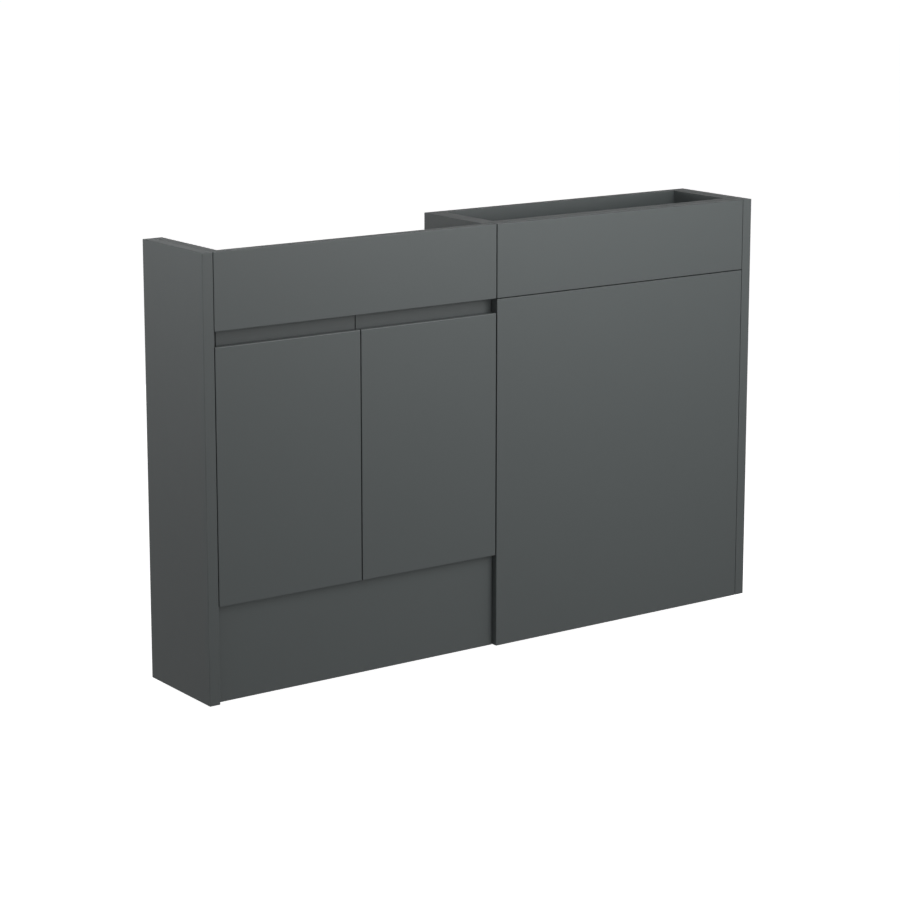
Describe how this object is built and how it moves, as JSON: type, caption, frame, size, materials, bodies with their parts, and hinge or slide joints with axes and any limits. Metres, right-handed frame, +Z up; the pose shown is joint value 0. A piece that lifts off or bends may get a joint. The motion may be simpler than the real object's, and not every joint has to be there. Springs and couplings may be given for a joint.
{
  "type": "toilet furniture unit",
  "caption": "Slimline fitted bathroom run: handleless basin cupboard with finger groove doors beside a back-to-wall toilet unit with access fascia, between end panels.",
  "frame": {"origin": "centre of the footprint, on the floor", "axes": "+X along the run to the right as seen from the front, +Y back to the wall, +Z up; the fronts face -Y"},
  "size_m": [1.242, 0.207, 0.802],
  "materials": {
    "front_lacquer": "matt lacquered MDF, dark green-grey",
    "carcass_foil": "matt foil-faced chipboard, dark green-grey",
    "bright_steel": "nickel-plated steel",
    "zinc_plate": "zinc-plated steel and zinc die casting",
    "nylon": "natural nylon",
    "black_plastic": "moulded black polypropylene"
  },
  "bodies": {
    "carcass": {"left_end_panel": "front_lacquer", "right_end_panel": "front_lacquer", "basin_left_gable": "carcass_foil", "basin_right_gable": "carcass_foil", "basin_base_panel": "carcass_foil", "basin_front_rail": "carcass_foil", "basin_upper_back_rail": "carcass_foil", "basin_lower_back_rail": "carcass_foil", "basin_shelf": "carcass_foil", "shelf_pins": "bright_steel", "door_bumpers": "nylon", "basin_fascia": "front_lacquer", "plinth_legs": "black_plastic", "pan_left_gable": "carcass_foil", "pan_right_gable": "carcass_foil", "pan_front_panel": "front_lacquer", "pan_top_front_rail": "carcass_foil", "pan_middle_rail": "carcass_foil", "pan_low_front_rail": "carcass_foil", "pan_top_back_rail": "carcass_foil", "pan_low_back_rail": "carcass_foil", "fascia_sockets": "nylon", "panel_spacers": "nylon", "panel_screws": "zinc_plate", "cam_fittings": "zinc_plate", "cam_bolts": "bright_steel", "unit_connectors": "zinc_plate", "end_panel_screws": "zinc_plate", "left_hinge_arms": "zinc_plate", "left_hinge_plates": "zinc_plate", "right_hinge_arms": "zinc_plate", "right_hinge_plates": "zinc_plate", "hinge_plate_screws": "bright_steel"},
    "left_door": {"left_door": "front_lacquer", "left_grip_strip": "front_lacquer", "left_hinge_cups": "zinc_plate", "left_cup_screws": "bright_steel"},
    "left_main_links": {"left_main_links": "bright_steel"},
    "left_guide_links": {"left_guide_links": "bright_steel"},
    "right_door": {"right_door": "front_lacquer", "right_grip_strip": "front_lacquer", "right_hinge_cups": "zinc_plate", "right_cup_screws": "bright_steel"},
    "right_main_links": {"right_main_links": "bright_steel"},
    "right_guide_links": {"right_guide_links": "bright_steel"},
    "plinth": {"plinth": "front_lacquer", "plinth_clips": "black_plastic"},
    "access_fascia": {"pan_access_fascia": "front_lacquer", "fascia_studs": "nylon"},
    "foot_front_left": {"foot_front_left": "black_plastic"},
    "foot_front_right": {"foot_front_right": "black_plastic"},
    "foot_back_left": {"foot_back_left": "black_plastic"},
    "foot_back_right": {"foot_back_right": "black_plastic"}
  },
  "joints": [
    {"name": "left_main_link_swing", "type": "hinge", "parent": "carcass", "child": "left_main_links", "pos_m": [-0.565, -0.0825, 0.407], "axis": [0, 0, 1], "range_deg": [0, 28.8]},
    {"name": "left_door_swing", "type": "hinge", "parent": "left_main_links", "child": "left_door", "pos_m": [-0.5885, -0.0945, 0.407], "axis": [0, 0, -1], "range_deg": [0, 120.75]},
    {"name": "left_guide_link_swing", "type": "hinge", "parent": "carcass", "child": "left_guide_links", "pos_m": [-0.5645, -0.0755, 0.407], "axis": [0, 0, 1], "range_deg": [0, 42.37]},
    {"name": "right_main_link_swing", "type": "hinge", "parent": "carcass", "child": "right_main_links", "pos_m": [-0.035, -0.0825, 0.407], "axis": [0, 0, -1], "range_deg": [0, 28.8]},
    {"name": "right_door_swing", "type": "hinge", "parent": "right_main_links", "child": "right_door", "pos_m": [-0.0115, -0.0945, 0.407], "axis": [0, 0, 1], "range_deg": [0, 120.75]},
    {"name": "right_guide_link_swing", "type": "hinge", "parent": "carcass", "child": "right_guide_links", "pos_m": [-0.0355, -0.0755, 0.407], "axis": [0, 0, -1], "range_deg": [0, 42.37]},
    {"name": "plinth_pull", "type": "slide", "parent": "carcass", "child": "plinth", "axis": [0, -1, 0], "range_m": [0, 0.15]},
    {"name": "access_fascia_pull", "type": "slide", "parent": "carcass", "child": "access_fascia", "axis": [0, -1, 0], "range_m": [0, 0.1]},
    {"name": "front_left_foot_height", "type": "slide", "parent": "carcass", "child": "foot_front_left", "axis": [0, 0, -1], "range_m": [-0.008, 0.02]},
    {"name": "front_right_foot_height", "type": "slide", "parent": "carcass", "child": "foot_front_right", "axis": [0, 0, -1], "range_m": [-0.008, 0.02]},
    {"name": "back_left_foot_height", "type": "slide", "parent": "carcass", "child": "foot_back_left", "axis": [0, 0, -1], "range_m": [-0.008, 0.02]},
    {"name": "back_right_foot_height", "type": "slide", "parent": "carcass", "child": "foot_back_right", "axis": [0, 0, -1], "range_m": [-0.008, 0.02]}
  ],
  "couplings": [
    {"joint": "left_main_link_swing", "follows": "left_door_swing", "ratio": 0.2381},
    {"joint": "left_guide_link_swing", "follows": "left_door_swing", "ratio": 0.35048},
    {"joint": "right_main_link_swing", "follows": "right_door_swing", "ratio": 0.2381},
    {"joint": "right_guide_link_swing", "follows": "right_door_swing", "ratio": 0.35048}
  ]
}
